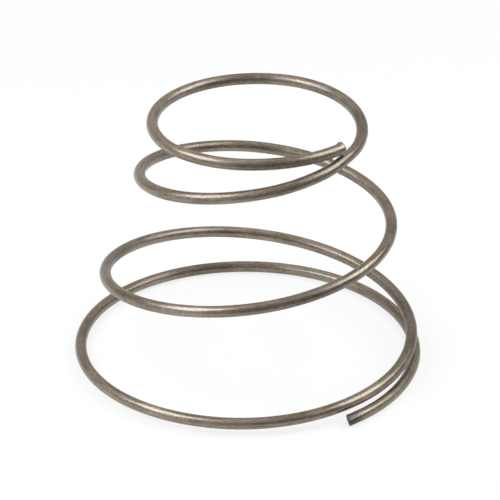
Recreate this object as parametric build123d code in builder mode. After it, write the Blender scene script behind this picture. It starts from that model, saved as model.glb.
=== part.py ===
from build123d import *

import os
from math import cos, radians, sin

# Kickstart spring: one length of round spring wire, wound right-handed into a cone that has a flat
# seat turn at its foot and a flat nose turn at its top. Lengths are in millimetres, angles in degrees.
# +Z runs up the coil, Z = 0 is the surface under the seat turn, and X = Y = 0 is the seat's axis.

# Wire
WIRE_DIAMETER = 1.6

# Winding angles, counted along the wire from the seat's cropped tip
SEAT_TIP_DIRECTION = -56.5
SEAT_TURN_ANGLE = 315.0
LOWER_COIL_ANGLE = 560.0
COIL_OVERLAP_ANGLE = 83.0
UPPER_COIL_ANGLE = 300.0
NOSE_TURN_ANGLE = 370.0

# Radii, to the wire's centre
SEAT_RADIUS = 23.5
LOWER_TAPER = 3.5
LOWER_TAPER_DELAY = 62.0
LOWER_TAPER_ANGLE = 208.0
UPPER_TAPER = 4.8
UPPER_TAPER_LEAD = 52.0
UPPER_TAPER_ANGLE = 226.0
NOSE_TAPER = 1.7
NOSE_TAPER_ANGLE = 150.0
NOSE_TIGHT_ANGLE = 146.0

# Heights that each stretch of the wire climbs
SEAT_GAP = 0.7
SEAT_FLAT_ANGLE = 78.0
SEAT_CLIMB_ANGLE = 644.0
LOWER_RISE = 19.1
UPPER_RISE = 9.4
NOSE_GAP = 2.2
NOSE_CLIMB_ANGLE = 224.0
NOSE_FLAT_ANGLE = 252.0

# Ends, which open out where the wire was cropped before it was fully bent
SEAT_FLARE = 2.0
SEAT_FLARE_ANGLE = 85.0
NOSE_FLARE = 1.3
NOSE_FLARE_ANGLE = 60.0

# Sideways drift of the nose from the seat's axis, towards +X
NOSE_LEAN = 0.6

# Winding angle of each arc that the wire's centre line is built from
ARC_ANGLE = 15.0

# Places along the wire that follow from the values above
lower_start = SEAT_TURN_ANGLE
lower_end = lower_start + LOWER_COIL_ANGLE
upper_start = lower_end - COIL_OVERLAP_ANGLE
upper_end = upper_start + UPPER_COIL_ANGLE
wound_angle = upper_end + NOSE_TURN_ANGLE
lower_taper_start = lower_start + LOWER_TAPER_DELAY
upper_taper_start = upper_start - UPPER_TAPER_LEAD
nose_taper_end = wound_angle - NOSE_TIGHT_ANGLE
nose_climb_end = wound_angle - NOSE_FLAT_ANGLE

# Each climb and each taper is its size, where it starts and where it ends
climbs = [
    (WIRE_DIAMETER + SEAT_GAP, SEAT_FLAT_ANGLE, SEAT_FLAT_ANGLE + SEAT_CLIMB_ANGLE),
    (LOWER_RISE, lower_start, lower_end),
    (UPPER_RISE, upper_start, upper_end),
    (WIRE_DIAMETER + NOSE_GAP, nose_climb_end - NOSE_CLIMB_ANGLE, nose_climb_end),
]
tapers = [
    (LOWER_TAPER, lower_taper_start, lower_taper_start + LOWER_TAPER_ANGLE),
    (UPPER_TAPER, upper_taper_start, upper_taper_start + UPPER_TAPER_ANGLE),
    (NOSE_TAPER, nose_taper_end - NOSE_TAPER_ANGLE, nose_taper_end),
]


def eased_share(angle, start, end):
    """Share of a climb or a taper that is done at an angle, with a smooth start and end."""
    share = min(max((angle - start) / (end - start), 0.0), 1.0)
    return share * share * (3.0 - 2.0 * share)


def eased_sum(angle, changes):
    """Total of several climbs or tapers at an angle."""
    return sum(size * eased_share(angle, start, end) for size, start, end in changes)


def flare(distance, size, reach):
    """How far the wire stands off its circle at an angular distance from its cropped end."""
    return size * max(1.0 - distance / reach, 0.0) ** 2


def wire_point(angle):
    """Point on the wire's centre line at a winding angle."""
    climbed = eased_sum(angle, climbs)
    radius = SEAT_RADIUS - eased_sum(angle, tapers)
    radius += flare(angle, SEAT_FLARE, SEAT_FLARE_ANGLE)
    radius += flare(wound_angle - angle, NOSE_FLARE, NOSE_FLARE_ANGLE)
    drift = NOSE_LEAN * climbed / eased_sum(wound_angle, climbs)
    direction = radians(SEAT_TIP_DIRECTION + angle)
    x = radius * cos(direction) + drift
    y = radius * sin(direction)
    return (x, y, WIRE_DIAMETER / 2 + climbed)


os.makedirs("parts", exist_ok=True)

# Spring wire: a chain of arcs, each of which carries on in the direction of the one before
arc_count = round(wound_angle / ARC_ANGLE)
arc_angle = wound_angle / arc_count
arc_ends = [wire_point(arc_angle * i) for i in range(arc_count + 1)]

with BuildPart() as spring_wire:
    with BuildLine() as centre_line:
        arc = ThreePointArc(arc_ends[0], wire_point(arc_angle / 2), arc_ends[1])
        seat_tip = Plane(origin=arc @ 0, z_dir=arc % 0)
        for start, end in zip(arc_ends[1:], arc_ends[2:]):
            arc = TangentArc(start, end, tangent=arc % 1)
    with BuildSketch(seat_tip):
        Circle(WIRE_DIAMETER / 2)
    sweep(path=centre_line.wires()[0])

spring_wire.part.label = "spring_wire"
export_step(spring_wire.part, "parts/spring_wire.step")
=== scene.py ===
import math
from typing import NamedTuple

import bpy
import numpy as np
from mathutils import Matrix, Vector


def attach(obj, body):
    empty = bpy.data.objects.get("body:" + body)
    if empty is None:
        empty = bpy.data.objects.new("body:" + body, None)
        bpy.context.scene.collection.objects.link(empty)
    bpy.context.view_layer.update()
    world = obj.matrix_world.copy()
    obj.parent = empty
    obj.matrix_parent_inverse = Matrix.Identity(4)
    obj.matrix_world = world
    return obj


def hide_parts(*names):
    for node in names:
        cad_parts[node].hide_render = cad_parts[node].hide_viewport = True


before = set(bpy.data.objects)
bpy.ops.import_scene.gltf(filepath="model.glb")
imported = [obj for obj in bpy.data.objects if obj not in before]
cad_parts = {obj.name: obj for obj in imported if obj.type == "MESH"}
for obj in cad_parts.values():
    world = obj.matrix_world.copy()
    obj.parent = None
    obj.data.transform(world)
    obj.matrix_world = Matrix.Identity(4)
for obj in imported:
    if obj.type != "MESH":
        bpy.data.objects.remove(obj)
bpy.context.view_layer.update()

# Kickstart spring: one length of drawn steel wire on the CAD solid's winding law, with its slight sets,
# its cropped ends and the surface of the steel. The wire's sizes are in millimetres until a mesh is made,
# where MM turns them to metres. Angles along it are in degrees from the seat's cropped tip.
MM = 0.001

# Wire
WIRE_DIAMETER = 1.6

# Winding angles
SEAT_TIP_DIRECTION = -56.5
SEAT_TURN_ANGLE = 315.0
LOWER_COIL_ANGLE = 560.0
COIL_OVERLAP_ANGLE = 83.0
UPPER_COIL_ANGLE = 300.0
NOSE_TURN_ANGLE = 370.0

# Radii, to the wire's centre
SEAT_RADIUS = 23.5
LOWER_TAPER = 3.5
LOWER_TAPER_DELAY = 62.0
LOWER_TAPER_ANGLE = 208.0
UPPER_TAPER = 4.8
UPPER_TAPER_LEAD = 52.0
UPPER_TAPER_ANGLE = 226.0
NOSE_TAPER = 1.7
NOSE_TAPER_ANGLE = 150.0
NOSE_TIGHT_ANGLE = 146.0

# Heights that each stretch of the wire climbs
SEAT_GAP = 0.7
SEAT_FLAT_ANGLE = 78.0
SEAT_CLIMB_ANGLE = 644.0
LOWER_RISE = 19.1
UPPER_RISE = 9.4
NOSE_GAP = 2.2
NOSE_CLIMB_ANGLE = 224.0
NOSE_FLAT_ANGLE = 252.0

# Ends that open out, and the sideways drift of the nose
SEAT_FLARE = 2.0
SEAT_FLARE_ANGLE = 85.0
NOSE_FLARE = 1.3
NOSE_FLARE_ANGLE = 60.0
NOSE_LEAN = 0.6

# Slight sets of the wire, as bumps in its centre line: middle angle, half width, rise and outward shift
SETS = (
    (0.0, 15.0, 0.10, 0.0),
    (1062.0, 24.0, -0.06, 0.0),
    (1103.0, 17.0, 0.13, -0.08),
    (1352.0, 17.0, -0.08, 0.0),
)

# Places along the wire that follow from the values above
lower_start = SEAT_TURN_ANGLE
lower_end = lower_start + LOWER_COIL_ANGLE
upper_start = lower_end - COIL_OVERLAP_ANGLE
upper_end = upper_start + UPPER_COIL_ANGLE
wound_angle = upper_end + NOSE_TURN_ANGLE
lower_taper_start = lower_start + LOWER_TAPER_DELAY
upper_taper_start = upper_start - UPPER_TAPER_LEAD
nose_taper_end = wound_angle - NOSE_TIGHT_ANGLE
nose_climb_end = wound_angle - NOSE_FLAT_ANGLE

# Each climb and each taper is its size, where it starts and where it ends
climbs = [
    (WIRE_DIAMETER + SEAT_GAP, SEAT_FLAT_ANGLE, SEAT_FLAT_ANGLE + SEAT_CLIMB_ANGLE),
    (LOWER_RISE, lower_start, lower_end),
    (UPPER_RISE, upper_start, upper_end),
    (WIRE_DIAMETER + NOSE_GAP, nose_climb_end - NOSE_CLIMB_ANGLE, nose_climb_end),
]
tapers = [
    (LOWER_TAPER, lower_taper_start, lower_taper_start + LOWER_TAPER_ANGLE),
    (UPPER_TAPER, upper_taper_start, upper_taper_start + UPPER_TAPER_ANGLE),
    (NOSE_TAPER, nose_taper_end - NOSE_TAPER_ANGLE, nose_taper_end),
]


def ease(share):
    """Smooth step from 0 to 1."""
    share = np.clip(share, 0.0, 1.0)
    return share * share * (3.0 - 2.0 * share)


def eased_sum(angle, changes):
    """Total of several climbs or tapers at an array of angles."""
    return sum(size * ease((angle - start) / (end - start)) for size, start, end in changes)


def flare(distance, size, reach):
    """How far the wire stands off its circle at an angular distance from its cropped end."""
    return size * np.clip(1.0 - distance / reach, 0.0, None) ** 2


def wire_points(angle):
    """Points on the wire's centre line at an array of angles."""
    climbed = eased_sum(angle, climbs)
    radius = SEAT_RADIUS - eased_sum(angle, tapers)
    radius = radius + flare(angle, SEAT_FLARE, SEAT_FLARE_ANGLE)
    radius = radius + flare(wound_angle - angle, NOSE_FLARE, NOSE_FLARE_ANGLE)
    drift = NOSE_LEAN * climbed / sum(size for size, start, end in climbs)
    height = WIRE_DIAMETER / 2 + climbed
    for middle, half_width, rise, shift in SETS:
        bump = ease(1.0 - np.abs(angle - middle) / half_width)
        height = height + rise * bump
        radius = radius + shift * bump
    direction = np.radians(SEAT_TIP_DIRECTION + angle)
    return np.stack([radius * np.cos(direction) + drift, radius * np.sin(direction), height], axis=-1)


def unit(vectors):
    """Vectors scaled to length 1."""
    return vectors / np.linalg.norm(vectors, axis=-1, keepdims=True)


# Table of true lengths along the wire, and the spacing of the mesh's rings
ANGLE_STEP = 0.25
RING_SPACING = 0.42
SIDES = 48
table_angles = np.linspace(0.0, wound_angle, round(wound_angle / ANGLE_STEP) + 1)
table_points = wire_points(table_angles)
table_lengths = np.concatenate(
    [[0.0], np.cumsum(np.linalg.norm(np.diff(table_points, axis=0), axis=1))]
)
wire_length = table_lengths[-1]


def wire_frames(lengths):
    """Centre, direction, outward and downward vectors of the wire at lengths from the seat's tip."""
    angles = np.interp(lengths, table_lengths, table_angles)
    centres = wire_points(angles)
    along = unit(wire_points(angles + ANGLE_STEP) - wire_points(angles - ANGLE_STEP))
    direction = np.radians(SEAT_TIP_DIRECTION + angles)
    outward = np.stack([np.cos(direction), np.sin(direction), np.zeros_like(direction)], axis=-1)
    outward = unit(outward - (outward * along).sum(-1, keepdims=True) * along)
    return centres, along, outward, np.cross(along, outward)


# Cropped ends. The insets of the rings before the rim are counted from the face.
END_ZONE = 1.4
END_INSETS = (END_ZONE, 1.25, 1.1, 0.95, 0.8, 0.65, 0.52, 0.4, 0.32)
SHARPEST_ROLL = 0.03
ROLL_SHARPNESS = 1.5
ROLL_STEPS = 6
PINCH_FADE = 1.3
FACE_RINGS = 7
FACE_HOLLOW = 0.05
FACE_ROUGHNESS = 0.018
FACE_SMOOTH_SHARE = 0.5
FACE_SEED = 12


class CroppedEnd(NamedTuple):
    """Shape of a cropped end: a slanted face, a rim rolled over by the blade, a burr and a pinch.

    A side is an angle round the wire in degrees, from the coil's outer side towards its underside, so a
    negative side lies towards the top. A spread is in radians round the wire.
    """

    extra: float  # how far the middle of the face stands beyond the winding law's end
    slant_out: float  # how much further the face stands for each millimetre outwards
    slant_under: float  # and for each millimetre downwards
    roll: float  # radius of the rolled rim where it is largest
    roll_side: float
    burr: float  # height of the burr
    burr_side: float
    burr_spread: float
    burr_middle: float  # inset of the burr's crest
    burr_reach: float  # length from the crest to the burr's foot
    pinch: float  # depth of the pinch at the face
    pinch_side: float
    pinch_spread: float


SEAT_END = CroppedEnd(
    extra=0.47, slant_out=0.50, slant_under=-0.25, roll=0.20, roll_side=-27.0,
    burr=0.05, burr_side=-120.0, burr_spread=0.9, burr_middle=0.0, burr_reach=0.5,
    pinch=0.26, pinch_side=-52.0, pinch_spread=0.80,
)
NOSE_END = CroppedEnd(
    extra=0.0, slant_out=0.05, slant_under=0.0, roll=0.16, roll_side=40.0,
    burr=0.19, burr_side=-108.0, burr_spread=0.55, burr_middle=0.20, burr_reach=0.45,
    pinch=0.0, pinch_side=0.0, pinch_spread=1.0,
)

# Angles round the wire, and the shares of the radius that they carry outwards and downwards
sides = np.arange(SIDES) * 2.0 * math.pi / SIDES
out_share, under_share = np.cos(sides), np.sin(sides)

random = np.random.default_rng(FACE_SEED)


def bell(side, spread):
    """Bell curve round the wire that peaks at a side."""
    away = np.angle(np.exp(1j * (sides - math.radians(side))))
    return np.exp(-((away / spread) ** 2))


def end_rings(end):
    """Rings of an end from the barrel to the middle of its face, each as inset and radius by side."""
    swell = end.burr * bell(end.burr_side, end.burr_spread)
    dip = end.pinch * bell(end.pinch_side, end.pinch_spread)
    towards_roll = 0.5 + 0.5 * np.cos(sides - math.radians(end.roll_side))
    roll = SHARPEST_ROLL + end.roll * towards_roll ** ROLL_SHARPNESS

    def radius_before_roll(inset):
        swollen = swell * ease(1.0 - np.abs(inset - end.burr_middle) / end.burr_reach)
        pinched = dip * (1.0 - inset / END_ZONE) ** PINCH_FADE
        return WIRE_DIAMETER / 2 + (swollen - pinched)

    rings = [(np.full(SIDES, inset), radius_before_roll(inset)) for inset in END_INSETS]
    for step in range(ROLL_STEPS + 1):
        turn = math.pi / 2 * step / ROLL_STEPS
        inset = roll * (1.0 - math.sin(turn))
        rings.append((inset, radius_before_roll(inset) - roll * (1.0 - math.cos(turn))))
    rim = rings[-1][1]
    for ring in range(1, FACE_RINGS):
        share = 1.0 - ring / FACE_RINGS
        dent = FACE_HOLLOW * (1.0 - share * share)
        torn = min(1.0, (1.0 - share) / FACE_SMOOTH_SHARE)
        grain = FACE_ROUGHNESS * random.standard_normal(SIDES) * torn
        rings.append((dent + grain * share, rim * share))
    return rings


def end_mesh(end, at_nose):
    """Rings of an end, as points and as wire coordinates, and the middle of its face."""
    points, coords = [], []
    for inset, radius in end_rings(end):
        slant = radius * (end.slant_out * out_share + end.slant_under * under_share)
        reach = (slant + end.extra) * ease(1.0 - inset / END_ZONE) - inset
        length = wire_length + reach if at_nose else -reach
        clamped = np.clip(length, 0.0, wire_length)
        centres, along, outward, downward = wire_frames(clamped)
        centres = centres + (length - clamped)[:, None] * along
        across = out_share[:, None] * outward + under_share[:, None] * downward
        points.append(centres + radius[:, None] * across)
        coords.append(np.stack([radius * out_share, radius * under_share, length], axis=-1))
    return points, coords, points[-1].mean(axis=0)


def wire_mesh():
    """The whole wire as one closed mesh: points, wire coordinates and faces.

    The wire coordinates are the distances outwards, downwards and along the wire.
    """
    seat_points, seat_coords, seat_middle = end_mesh(SEAT_END, False)
    nose_points, nose_coords, nose_middle = end_mesh(NOSE_END, True)
    inner = wire_length - 2.0 * END_ZONE
    count = round(inner / RING_SPACING)
    lengths = END_ZONE + inner * np.arange(1, count) / count
    centres, along, outward, downward = wire_frames(lengths)
    radius = WIRE_DIAMETER / 2
    across = out_share[:, None] * outward[:, None] + under_share[:, None] * downward[:, None]
    barrel = centres[:, None] + radius * across
    barrel_coords = np.empty_like(barrel)
    barrel_coords[..., 0] = radius * out_share
    barrel_coords[..., 1] = radius * under_share
    barrel_coords[..., 2] = lengths[:, None]
    rings = list(reversed(seat_points)) + list(barrel) + nose_points
    ring_coords = list(reversed(seat_coords)) + list(barrel_coords) + nose_coords
    points = np.concatenate(rings + [seat_middle[None], nose_middle[None]])
    coords = np.concatenate(ring_coords + [[[0.0, 0.0, 0.0]], [[0.0, 0.0, wire_length]]])

    faces = []
    for ring in range(len(rings) - 1):
        start = ring * SIDES
        for k in range(SIDES):
            following = (k + 1) % SIDES
            faces.append((start + k, start + following, start + SIDES + following, start + SIDES + k))
    last = (len(rings) - 1) * SIDES
    seat_index = len(rings) * SIDES
    nose_index = seat_index + 1
    for k in range(SIDES):
        following = (k + 1) % SIDES
        faces.append((seat_index, following, k))
        faces.append((nose_index, last + k, last + following))
    return points, coords, faces


points, coords, faces = wire_mesh()
mesh = bpy.data.meshes.new("spring_wire_drawn")
mesh.from_pydata((points * MM).tolist(), [], faces)
mesh.update()
mesh.shade_smooth()

# Layout of the unwrapped skin, in shares of the square
UV_STRIPS = 9
UV_STRIP_WIDTH = 0.97
UV_MARGIN = 0.015
UV_DISC_BAND = 0.05
UV_SEAT_DISC = 0.1
UV_NOSE_DISC = 0.2


def unwrap(mesh, coords):
    """Lay the wire's skin out flat in even strips, cut along its inner side, with a disc for each face."""
    rings = (len(mesh.vertices) - 2) // SIDES
    ring_points = coords[: rings * SIDES].reshape(rings, SIDES, 3)
    steps = np.linalg.norm(np.diff(ring_points, axis=0), axis=2).mean(axis=1)
    first, last = FACE_RINGS - 1, rings - FACE_RINGS
    run = np.concatenate([[0.0], np.cumsum(steps)])
    run = run - run[first]
    strip_length = run[last] / UV_STRIPS
    per_mm = UV_STRIP_WIDTH / strip_length
    strip_height = math.pi * WIRE_DIAMETER * per_mm
    pitch = (1.0 - UV_DISC_BAND) / UV_STRIPS
    disc_height = UV_DISC_BAND / 2

    def on_disc(ring, k, at_nose):
        spot = ring_points[ring, k % SIDES, :2] * per_mm
        middle = UV_NOSE_DISC if at_nose else UV_SEAT_DISC
        return (middle + spot[0], disc_height + spot[1])

    uvs = []
    for ring in range(rings - 1):
        strip = min(int((run[ring] + run[ring + 1]) / 2 / strip_length), UV_STRIPS - 1)
        base = UV_DISC_BAND + strip * pitch
        for k in range(SIDES):
            if ring < first or ring >= last:
                at_nose = ring >= last
                uvs += [on_disc(ring, k, at_nose), on_disc(ring, k + 1, at_nose)]
                uvs += [on_disc(ring + 1, k + 1, at_nose), on_disc(ring + 1, k, at_nose)]
                continue
            left = UV_MARGIN + (run[ring] - strip * strip_length) * per_mm
            right = UV_MARGIN + (run[ring + 1] - strip * strip_length) * per_mm
            low = base + strip_height * ((k - SIDES // 2) % SIDES) / SIDES
            high = low + strip_height / SIDES
            uvs += [(left, low), (left, high), (right, high), (right, low)]
    for k in range(SIDES):
        uvs += [(UV_SEAT_DISC, disc_height), on_disc(0, k + 1, False), on_disc(0, k, False)]
        uvs += [(UV_NOSE_DISC, disc_height), on_disc(rings - 1, k, True), on_disc(rings - 1, k + 1, True)]
    layer = mesh.uv_layers.new(name="OFBake")
    layer.data.foreach_set("uv", np.array(uvs, dtype=np.float32).ravel())


unwrap(mesh, coords)
wire_space = mesh.attributes.new("wire_space", "FLOAT_VECTOR", "POINT")
wire_space.data.foreach_set("vector", (coords * MM).astype(np.float32).ravel())

# Darker and lighter stretches painted into the steel's colour, partly its own patchy tone and partly
# painted shade and painted highlight where a stretch catches less or more light: middle angle along the
# wire, half width, and change of tone
TONES = (
    # Seat tip: painted shade that dulls the highlight before the cropped end
    (0.0, 6.0, -0.60),
    (56.0, 32.0, -0.19),
    (114.0, 10.0, 0.15),
    (160.0, 26.0, -0.28),
    (198.0, 14.0, -0.12),
    (232.0, 28.0, -0.17),
    (288.0, 26.0, 0.21),
    (330.0, 12.0, -0.10),
    (366.0, 13.0, 0.26),
    (400.0, 33.0, -0.23),
    (433.0, 42.0, -0.28),
    (500.0, 14.0, 0.24),
    (584.0, 18.0, -0.12),
    (667.0, 15.0, 0.33),
    (708.0, 17.0, -0.24),
    (750.0, 10.0, 0.12),
    (768.0, 18.0, -0.24),
    (818.0, 24.0, -0.11),
    (858.0, 10.0, -0.12),
    (894.0, 14.0, -0.12),
    (984.0, 24.0, 0.13),
    (1075.0, 10.0, 0.10),
    (1097.0, 9.0, -0.15),
    (1138.0, 26.0, -0.30),
    (1182.0, 12.0, -0.10),
    (1232.0, 38.0, -0.17),
    (1274.0, 14.0, 0.12),
    (1324.0, 26.0, 0.35),
    (1358.0, 18.0, 0.14),
    (1427.0, 17.0, -0.16),
)
lengths_of_points = np.clip(coords[:, 2], 0.0, wire_length)
angles_of_points = np.interp(lengths_of_points, table_lengths, table_angles)
tones = np.ones(len(coords))
for middle, half_width, change in TONES:
    tones += change * ease(1.0 - np.abs(angles_of_points - middle) / half_width)
# The tone carries the steel's own patchy tone together with painted shade and painted highlight
tone = mesh.attributes.new("tone", "FLOAT", "POINT")
tone.data.foreach_set("value", tones.astype(np.float32))

wire = bpy.data.objects.new("spring_wire_drawn", mesh)
bpy.context.scene.collection.objects.link(wire)


# Node helpers. A value is another node's output or a fixed setting.
def node(tree, kind, **properties):
    """New node with some of its properties set."""
    made = tree.nodes.new(kind)
    for name, value in properties.items():
        setattr(made, name, value)
    return made


def fill(tree, socket, value):
    """Link an output to a socket, or set the socket."""
    if isinstance(value, bpy.types.NodeSocket):
        tree.links.new(value, socket)
    else:
        socket.default_value = value


def maths(tree, operation, *values):
    """Result of a sum on numbers."""
    made = node(tree, "ShaderNodeMath", operation=operation)
    for socket, value in zip(made.inputs, values):
        fill(tree, socket, value)
    return made.outputs["Value"]


def along_direction(tree, vector, direction):
    """How far a vector reaches in a direction."""
    made = node(tree, "ShaderNodeVectorMath", operation="DOT_PRODUCT")
    fill(tree, made.inputs[0], vector)
    fill(tree, made.inputs[1], direction)
    return made.outputs["Value"]


def mapped(tree, value, from_range, to_range, interpolation="LINEAR"):
    """Value carried from one range to another, and held at its ends."""
    made = node(tree, "ShaderNodeMapRange", interpolation_type=interpolation)
    for name, setting in zip(("From Min", "From Max", "To Min", "To Max"), (*from_range, *to_range)):
        made.inputs[name].default_value = setting
    fill(tree, made.inputs["Value"], value)
    return made.outputs["Result"]


def mixed_shaders(tree, share, first, second):
    """Two shaders mixed by the share of the second."""
    made = node(tree, "ShaderNodeMixShader")
    fill(tree, made.inputs["Fac"], share)
    fill(tree, made.inputs[1], first)
    fill(tree, made.inputs[2], second)
    return made.outputs["Shader"]


# Steel. Each noise is its scale per metre across the wire, the share of that scale along the wire, its
# detail and its roughness.
METALLIC = 0.88
STREAKS = (5200.0, 0.05, 3.0, 0.6)
PATCHES = (650.0, 0.45, 3.0, 0.55)
GRAIN = (9000.0, 0.4, 2.0, 0.5)
SPECKS = (3000.0, 0.7, 2.0, 0.6)
REDNESS = (950.0, 0.7, 1.5, 0.5)
BLUENESS = (840.0, 0.7, 1.5, 0.5)
NOISE_RANGE = (0.3, 0.7)

# Browner and paler steel, each as a place in the patches and a colour
BROWNER = (0.32, (0.257, 0.199, 0.148, 1.0))
PALER = (0.70, (0.351, 0.291, 0.231, 1.0))

# Ranges that the noises are carried to, and the relief of the drawing lines in metres
STREAK_SHADES = (0.75, 1.13)
SPECK_SHADES = (0.78, 1.18)
RED_SHIFTS = (0.93, 1.07)
BLUE_SHIFTS = (0.91, 1.09)
ROUGHNESSES = (0.23, 0.41)
GRAIN_WEIGHT = 0.15
BUMP_STRENGTH = 0.28
BUMP_DISTANCE = 0.00003


def steel_material():
    """Bare drawn spring steel: satin, slightly browned, with fine lines along the wire."""
    material = bpy.data.materials.new("drawn_spring_steel")
    material.use_nodes = True
    tree = material.node_tree
    shader = tree.nodes["Principled BSDF"]
    shader.inputs["Metallic"].default_value = METALLIC
    place = node(tree, "ShaderNodeAttribute", attribute_name="wire_space")

    def noise(scale, share_along, detail, roughness):
        mapping = node(tree, "ShaderNodeMapping")
        mapping.inputs["Scale"].default_value = (1.0, 1.0, share_along)
        fill(tree, mapping.inputs["Vector"], place.outputs["Vector"])
        made = node(tree, "ShaderNodeTexNoise")
        made.inputs["Scale"].default_value = scale
        made.inputs["Detail"].default_value = detail
        made.inputs["Roughness"].default_value = roughness
        fill(tree, made.inputs["Vector"], mapping.outputs["Vector"])
        return made.outputs["Fac"]

    streaks = noise(*STREAKS)
    patches = noise(*PATCHES)

    tint = node(tree, "ShaderNodeValToRGB")
    for element, (position, colour) in zip(tint.color_ramp.elements, (BROWNER, PALER)):
        element.position = position
        element.color = colour
    fill(tree, tint.inputs["Fac"], patches)
    streaked = mapped(tree, streaks, NOISE_RANGE, STREAK_SHADES)
    specked = mapped(tree, noise(*SPECKS), NOISE_RANGE, SPECK_SHADES)
    # Tone along the wire: the steel's own patchiness with painted shade and painted highlight, multiplied
    # into the colour
    tone_and_painted_light = node(tree, "ShaderNodeAttribute", attribute_name="tone")
    mottle = maths(tree, "MULTIPLY", streaked, specked)
    shade = node(tree, "ShaderNodeVectorMath", operation="SCALE")
    fill(tree, shade.inputs[0], tint.outputs["Color"])
    fill(tree, shade.inputs["Scale"], maths(tree, "MULTIPLY", mottle, tone_and_painted_light.outputs["Fac"]))
    hue = node(tree, "ShaderNodeCombineXYZ")
    fill(tree, hue.inputs["X"], mapped(tree, noise(*REDNESS), NOISE_RANGE, RED_SHIFTS))
    fill(tree, hue.inputs["Y"], 1.0)
    fill(tree, hue.inputs["Z"], mapped(tree, noise(*BLUENESS), NOISE_RANGE, BLUE_SHIFTS))
    stained = node(tree, "ShaderNodeVectorMath", operation="MULTIPLY")
    fill(tree, stained.inputs[0], shade.outputs["Vector"])
    fill(tree, stained.inputs[1], hue.outputs["Vector"])
    fill(tree, shader.inputs["Base Color"], stained.outputs["Vector"])
    fill(tree, shader.inputs["Roughness"], mapped(tree, patches, NOISE_RANGE, ROUGHNESSES))

    bump = node(tree, "ShaderNodeBump")
    bump.inputs["Strength"].default_value = BUMP_STRENGTH
    bump.inputs["Distance"].default_value = BUMP_DISTANCE
    fill(tree, bump.inputs["Height"], maths(tree, "MULTIPLY_ADD", noise(*GRAIN), GRAIN_WEIGHT, streaks))
    fill(tree, shader.inputs["Normal"], bump.outputs["Normal"])
    return material


mesh.materials.append(steel_material())
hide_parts("spring_wire")
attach(wire, "root")

# Floor: white paper, 20 % of whose white comes from the light that falls on it. In reflections its white
# falls off in two directions as painted shade, darker towards the front and towards the right, each with
# the distances in metres where that starts and ends and what is left.
FLOOR_HALF = 3.0
FLOOR_LIT_SHARE = 0.2
WHITE = (1.0, 1.0, 1.0, 1.0)
PAPER_COLOUR = (0.93, 0.90, 0.87, 1.0)
MIRRORED_PAPER_COLOUR = (0.93, 1.0, 1.03, 1.0)
FLOOR_FRONT = (0.45, -0.89, 0.0)
FLOOR_FRONT_FALL = (0.018, 0.085, 0.12)
FLOOR_RIGHT = (1.0, 0.0, 0.0)
FLOOR_RIGHT_FALL = (-0.035, 0.03, 0.86)

# Sockets of a Mix node by the kind of its data: first value, second value and result
MIX_SOCKETS = {"FLOAT": (2, 3, 0), "RGBA": (6, 7, 2)}


def floor_material():
    """White paper: its own white to the camera and in reflections, with painted shade in its mirrored
    white and the shadows of a lit surface.
    """
    material = bpy.data.materials.new("white_paper")
    material.use_nodes = True
    tree = material.node_tree
    tree.nodes.clear()
    surface = node(tree, "ShaderNodeOutputMaterial")
    rays = node(tree, "ShaderNodeLightPath")
    place = node(tree, "ShaderNodeNewGeometry")

    def share_left(direction, near, far, low):
        """Share of the paper's white that is left at a distance in a direction."""
        distance = along_direction(tree, place.outputs["Position"], direction)
        return mapped(tree, distance, (near, far), (1.0, low), "SMOOTHSTEP")

    def if_mirrored(kind, plain, mirrored):
        """A plain value, or another where the paper is seen in a reflection."""
        first, second, result = MIX_SOCKETS[kind]
        made = node(tree, "ShaderNodeMix", data_type=kind)
        fill(tree, made.inputs["Factor"], rays.outputs["Is Glossy Ray"])
        fill(tree, made.inputs[first], plain)
        fill(tree, made.inputs[second], mirrored)
        return made.outputs[result]

    # Painted shade on the paper as the steel mirrors it: its white falls off towards the front and the
    # right
    front_left = share_left(FLOOR_FRONT, *FLOOR_FRONT_FALL)
    right_left = share_left(FLOOR_RIGHT, *FLOOR_RIGHT_FALL)
    paper = node(tree, "ShaderNodeBsdfDiffuse")
    paper.inputs["Color"].default_value = PAPER_COLOUR
    white = node(tree, "ShaderNodeEmission")
    fill(tree, white.inputs["Color"], if_mirrored("RGBA", WHITE, MIRRORED_PAPER_COLOUR))
    fill(
        tree, white.inputs["Strength"],
        if_mirrored("FLOAT", 1.0, maths(tree, "MULTIPLY", front_left, right_left)),
    )
    shown = maths(tree, "MAXIMUM", rays.outputs["Is Camera Ray"], rays.outputs["Is Glossy Ray"])
    shown = maths(tree, "MAXIMUM", shown, rays.outputs["Is Transmission Ray"])
    white_share = maths(tree, "MULTIPLY", shown, 1.0 - FLOOR_LIT_SHARE)
    mix = mixed_shaders(tree, white_share, paper.outputs["BSDF"], white.outputs["Emission"])
    fill(tree, surface.inputs["Surface"], mix)
    return material


floor_mesh = bpy.data.meshes.new("floor")
floor_mesh.from_pydata(
    [
        (-FLOOR_HALF, -FLOOR_HALF, 0.0),
        (FLOOR_HALF, -FLOOR_HALF, 0.0),
        (FLOOR_HALF, FLOOR_HALF, 0.0),
        (-FLOOR_HALF, FLOOR_HALF, 0.0),
    ],
    [],
    [(0, 1, 2, 3)],
)
floor_mesh.materials.append(floor_material())
floor = bpy.data.objects.new("floor", floor_mesh)
bpy.context.scene.collection.objects.link(floor)

# Studio: a pale room that the steel mirrors, an even dim one that lights what is matt, a white backdrop
# for the camera, and two soft lamps. The slope is the room's change of level along each axis.
ROOM_LEVEL = 0.57
ROOM_SLOPE = (-0.07, -0.04, 0.09)
ROOM_COLOUR = (1.02, 1.0, 0.98, 1.0)
DIM_ROOM_LEVEL = 0.8
DIM_ROOM_COLOUR = (0.8, 0.8, 0.8, 1.0)
BACKDROP_LEVEL = 1.0

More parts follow.
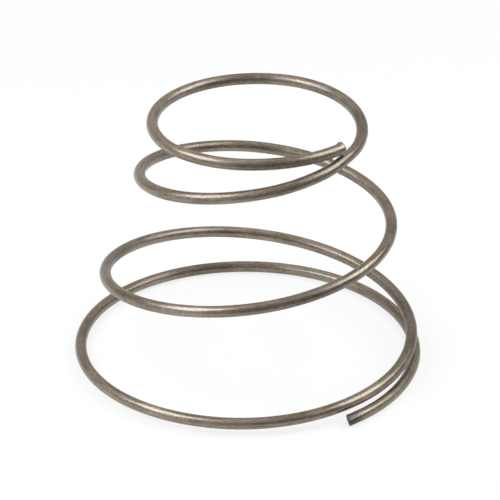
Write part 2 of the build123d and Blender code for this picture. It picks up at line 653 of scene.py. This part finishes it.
# Brighter and darker parts of the room: azimuth, elevation, half width in degrees, and change of level
ROOM_PARTS = (
    (20.0, -6.0, 58.0, -0.40),
    (88.0, 0.0, 50.0, -0.28),
    (-75.0, 0.0, 55.0, 0.07),
    (0.0, 90.0, 45.0, 0.06),
    (12.0, 56.0, 46.0, -0.18),
    (180.0, 56.0, 34.0, 0.12),
    (-110.0, 62.0, 28.0, 0.42),
    (-118.0, 22.0, 34.0, -0.09),
)


def heading(azimuth, elevation):
    """Direction away from the spring. Azimuth 0 is the front, and it grows towards the right."""
    az, el = math.radians(azimuth), math.radians(elevation)
    return Vector((math.sin(az) * math.cos(el), -math.cos(az) * math.cos(el), math.sin(el)))


def studio_world():
    """World with a room for reflections, another for matt surfaces and a backdrop for the camera."""
    world = bpy.data.worlds.new("studio")
    bpy.context.scene.world = world
    world.use_nodes = True
    tree = world.node_tree
    tree.nodes.clear()
    surface = node(tree, "ShaderNodeOutputWorld")
    rays = node(tree, "ShaderNodeLightPath")
    place = node(tree, "ShaderNodeTexCoord").outputs["Generated"]

    def background(colour, level):
        made = node(tree, "ShaderNodeBackground")
        fill(tree, made.inputs["Color"], colour)
        fill(tree, made.inputs["Strength"], level)
        return made.outputs["Background"]

    level = maths(tree, "ADD", along_direction(tree, place, ROOM_SLOPE), ROOM_LEVEL)
    for azimuth, elevation, half_width, change in ROOM_PARTS:
        nearness = along_direction(tree, place, heading(azimuth, elevation))
        edge = math.cos(math.radians(half_width))
        part = mapped(tree, nearness, (edge, 1.0), (0.0, change), "SMOOTHSTEP")
        level = maths(tree, "ADD", level, part)
    room = background(ROOM_COLOUR, level)
    dim_room = background(DIM_ROOM_COLOUR, DIM_ROOM_LEVEL)
    backdrop = background(WHITE, BACKDROP_LEVEL)
    glossy = maths(tree, "MAXIMUM", rays.outputs["Is Glossy Ray"], rays.outputs["Is Transmission Ray"])
    unseen = mixed_shaders(tree, glossy, dim_room, room)
    seen = mixed_shaders(tree, rays.outputs["Is Camera Ray"], unseen, backdrop)
    fill(tree, surface.inputs["Surface"], seen)


studio_world()

# Point that the lamps face
LAMP_AIM = Vector((0.0, 0.0, 0.018))


def soft_lamp(name, azimuth, elevation, distance, width, height, roll, radiance, colour):
    """Rectangular lamp that faces the spring, turned about its own axis by the roll in degrees."""
    data = bpy.data.lights.new(name, "AREA")
    data.shape = "RECTANGLE"
    data.size = width
    data.size_y = height
    data.energy = radiance * width * height * math.pi
    data.color = colour
    away = heading(azimuth, elevation)
    across = Vector((0.0, 0.0, 1.0)).cross(away).normalized()
    upward = away.cross(across)
    turn = math.radians(roll)
    side = math.cos(turn) * across + math.sin(turn) * upward
    top = away.cross(side)
    place = LAMP_AIM + distance * away
    lamp = bpy.data.objects.new(name, data)
    lamp.matrix_world = Matrix(
        (
            (side.x, top.x, away.x, place.x),
            (side.y, top.y, away.y, place.y),
            (side.z, top.z, away.z, place.z),
            (0.0, 0.0, 0.0, 1.0),
        )
    )
    bpy.context.scene.collection.objects.link(lamp)


soft_lamp(
    "lamp_left", azimuth=-68.3, elevation=48.0, distance=0.185, width=0.122, height=0.114, roll=-6.6,
    radiance=3.9, colour=(0.865, 1.0, 1.14),
)
soft_lamp(
    "lamp_right", azimuth=94.5, elevation=44.3, distance=0.416, width=0.262, height=0.254, roll=10.5,
    radiance=3.8, colour=(0.885, 1.0, 1.055),
)

# Camera, in metres, degrees and, for the lens and the sensor, millimetres
CAMERA_ELEVATION = 27.265
CAMERA_DISTANCE = 0.405904
CAMERA_TARGET = Vector((0.000458, 0.0, 0.015757))
CAMERA_LENS = 209.5
CAMERA_SENSOR = 36.0
CAMERA_CLIP_START = 0.01

camera_data = bpy.data.cameras.new("camera")
camera_data.sensor_width = CAMERA_SENSOR
camera_data.lens = CAMERA_LENS
camera_data.clip_start = CAMERA_CLIP_START
camera = bpy.data.objects.new("camera", camera_data)
tilt = math.radians(CAMERA_ELEVATION)
camera.location = CAMERA_TARGET + CAMERA_DISTANCE * heading(0.0, CAMERA_ELEVATION)
camera.rotation_euler = (math.pi / 2 - tilt, 0.0, 0.0)
bpy.context.scene.collection.objects.link(camera)
bpy.context.scene.camera = camera
bpy.context.scene.view_settings.view_transform = "Standard"
